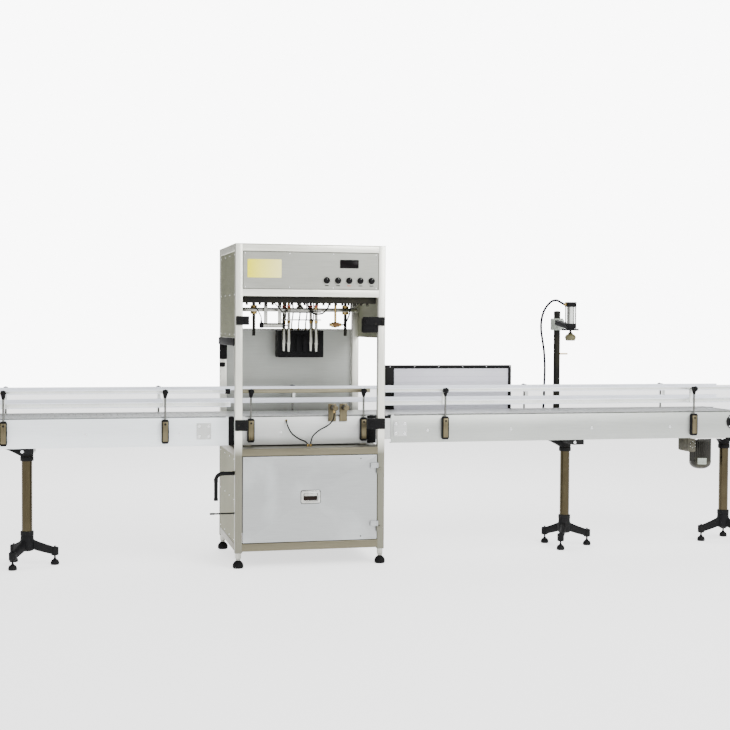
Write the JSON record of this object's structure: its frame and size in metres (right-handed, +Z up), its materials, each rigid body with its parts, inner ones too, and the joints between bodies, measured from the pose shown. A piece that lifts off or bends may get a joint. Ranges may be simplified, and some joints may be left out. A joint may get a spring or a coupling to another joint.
{
  "type": "bottle capping machine",
  "caption": "Inline filling and capping line: steel cabinet with vertical nozzles, slat belt conveyor on tripod legs with guide rails, and a pneumatic cap press on a post.",
  "frame": {"origin": "on the floor, under the middle of the machine's bounding box; the belt's centre line is above Y = 0", "axes": "+X the way the bottles travel, +Y from the operator's side to the back, +Z up"},
  "size_m": [4.7724, 0.7153, 1.7883],
  "materials": {
    "stainless": "brushed stainless tube and bar",
    "stainless_sheet": "brushed stainless sheet",
    "dark_steel": "dark steel",
    "chrome": "bright plated",
    "pale_plate": "pale satin sheet",
    "white_plastic": "white wear strip",
    "black_plastic": "moulded black plastic",
    "black_paint": "black paint",
    "rubber": "black rubber",
    "grey_paint": "grey machine paint"
  },
  "bodies": {
    "machine": {"cabinet_frame": "stainless", "lift_cylinder": "stainless", "leg_post_1": "stainless", "leg_post_2": "stainless", "leg_post_3": "stainless", "press_cylinder": "stainless", "head_front_panel": "stainless_sheet", "head_top_cover": "stainless_sheet", "head_left_panel": "stainless_sheet", "head_right_panel": "stainless_sheet", "chamber_back_panel": "stainless_sheet", "deck_plate": "stainless_sheet", "lower_left_panel": "stainless_sheet", "lower_right_panel": "stainless_sheet", "lower_back_panel": "stainless_sheet", "head_floor_plate": "dark_steel", "stop_cylinder_1": "chrome", "stop_cylinder_2": "chrome", "conveyor_frame_infeed": "pale_plate", "conveyor_frame_middle": "pale_plate", "conveyor_frame_outfeed": "pale_plate", "conveyor_belt": "pale_plate", "counter_display": "black_plastic", "inlet_elbow": "black_plastic", "air_inlet_pipe": "black_paint", "valve_box": "black_paint", "leg_base_1": "black_paint", "leg_base_2": "black_paint", "leg_base_3": "black_paint", "light_box": "black_paint", "press_post": "black_paint", "levelling_foot_1": "rubber", "levelling_foot_2": "rubber", "levelling_foot_3": "rubber", "levelling_foot_4": "rubber", "stop_hose_1": "rubber", "stop_hose_2": "rubber", "press_hose": "rubber", "gearbox": "grey_paint", "motor": "grey_paint", "press_arm": "grey_paint"},
    "front_door": {"front_door": "stainless_sheet", "door_pull": "chrome"},
    "nozzle_head": {"nozzle_beam": "chrome", "nozzle_pair_left": "stainless", "nozzle_pair_right": "stainless"},
    "knob_1": {"knob_1": "black_plastic"},
    "knob_2": {"knob_2": "black_plastic"},
    "knob_3": {"knob_3": "black_plastic"},
    "knob_4": {"knob_4": "black_plastic"},
    "knob_5": {"knob_5": "black_plastic"},
    "press_rod": {"press_rod": "chrome"},
    "stop_rod_1": {"stop_rod_1": "chrome"},
    "stop_rod_2": {"stop_rod_2": "chrome"},
    "drive_shaft": {"drive_shaft": "stainless"},
    "idler_shaft": {"idler_shaft": "stainless"},
    "infeed_guide_rail": {"infeed_guide_rail": "white_plastic"},
    "outfeed_guide_rail": {"outfeed_guide_rail": "white_plastic"},
    "chamber_guide_bar": {"chamber_guide_bar": "stainless"},
    "back_guide_rail": {"back_guide_rail": "white_plastic"}
  },
  "joints": [
    {"name": "door_hinge", "type": "hinge", "parent": "machine", "child": "front_door", "pos_m": [-0.0655, -0.3485, 0.38], "axis": [0, 0, 1], "range_deg": [0, 110]},
    {"name": "knob_1_turn", "type": "hinge", "parent": "machine", "child": "knob_1", "pos_m": [-0.361, -0.35, 1.591], "axis": [0, -1, 0], "range_deg": [-135, 135]},
    {"name": "knob_2_turn", "type": "hinge", "parent": "machine", "child": "knob_2", "pos_m": [-0.297, -0.35, 1.591], "axis": [0, -1, 0], "range_deg": [-135, 135]},
    {"name": "knob_3_turn", "type": "hinge", "parent": "machine", "child": "knob_3", "pos_m": [-0.233, -0.35, 1.591], "axis": [0, -1, 0], "range_deg": [-135, 135]},
    {"name": "knob_4_turn", "type": "hinge", "parent": "machine", "child": "knob_4", "pos_m": [-0.169, -0.35, 1.591], "axis": [0, -1, 0], "range_deg": [-135, 135]},
    {"name": "knob_5_turn", "type": "hinge", "parent": "machine", "child": "knob_5", "pos_m": [-0.105, -0.35, 1.591], "axis": [0, -1, 0], "range_deg": [-135, 135]},
    {"name": "nozzle_lift", "type": "slide", "parent": "machine", "child": "nozzle_head", "axis": [0, 0, -1], "range_m": [0, 0.12]},
    {"name": "press_stroke", "type": "slide", "parent": "machine", "child": "press_rod", "axis": [0, 0, -1], "range_m": [0, 0.08]},
    {"name": "stop_stroke_1", "type": "slide", "parent": "machine", "child": "stop_rod_1", "axis": [0, 1, 0], "range_m": [0, 0.06]},
    {"name": "stop_stroke_2", "type": "slide", "parent": "machine", "child": "stop_rod_2", "axis": [0, 1, 0], "range_m": [0, 0.06]},
    {"name": "drive_turn", "type": "hinge", "parent": "machine", "child": "drive_shaft", "pos_m": [2.218, 0, 0.765], "axis": [0, 1, 0], "continuous": true},
    {"name": "idler_turn", "type": "hinge", "parent": "machine", "child": "idler_shaft", "pos_m": [-2.308, 0, 0.765], "axis": [0, 1, 0], "continuous": true},
    {"name": "infeed_rail_height", "type": "slide", "parent": "machine", "child": "infeed_guide_rail", "axis": [0, 0, 1], "range_m": [-0.03, 0.05]},
    {"name": "outfeed_rail_height", "type": "slide", "parent": "machine", "child": "outfeed_guide_rail", "axis": [0, 0, 1], "range_m": [-0.03, 0.05]},
    {"name": "chamber_bar_height", "type": "slide", "parent": "machine", "child": "chamber_guide_bar", "axis": [0, 0, 1], "range_m": [-0.03, 0.05]},
    {"name": "back_rail_height", "type": "slide", "parent": "machine", "child": "back_guide_rail", "axis": [0, 0, 1], "range_m": [-0.03, 0.05]}
  ],
  "couplings": [
    {"joint": "idler_turn", "follows": "drive_turn", "ratio": 1}
  ]
}
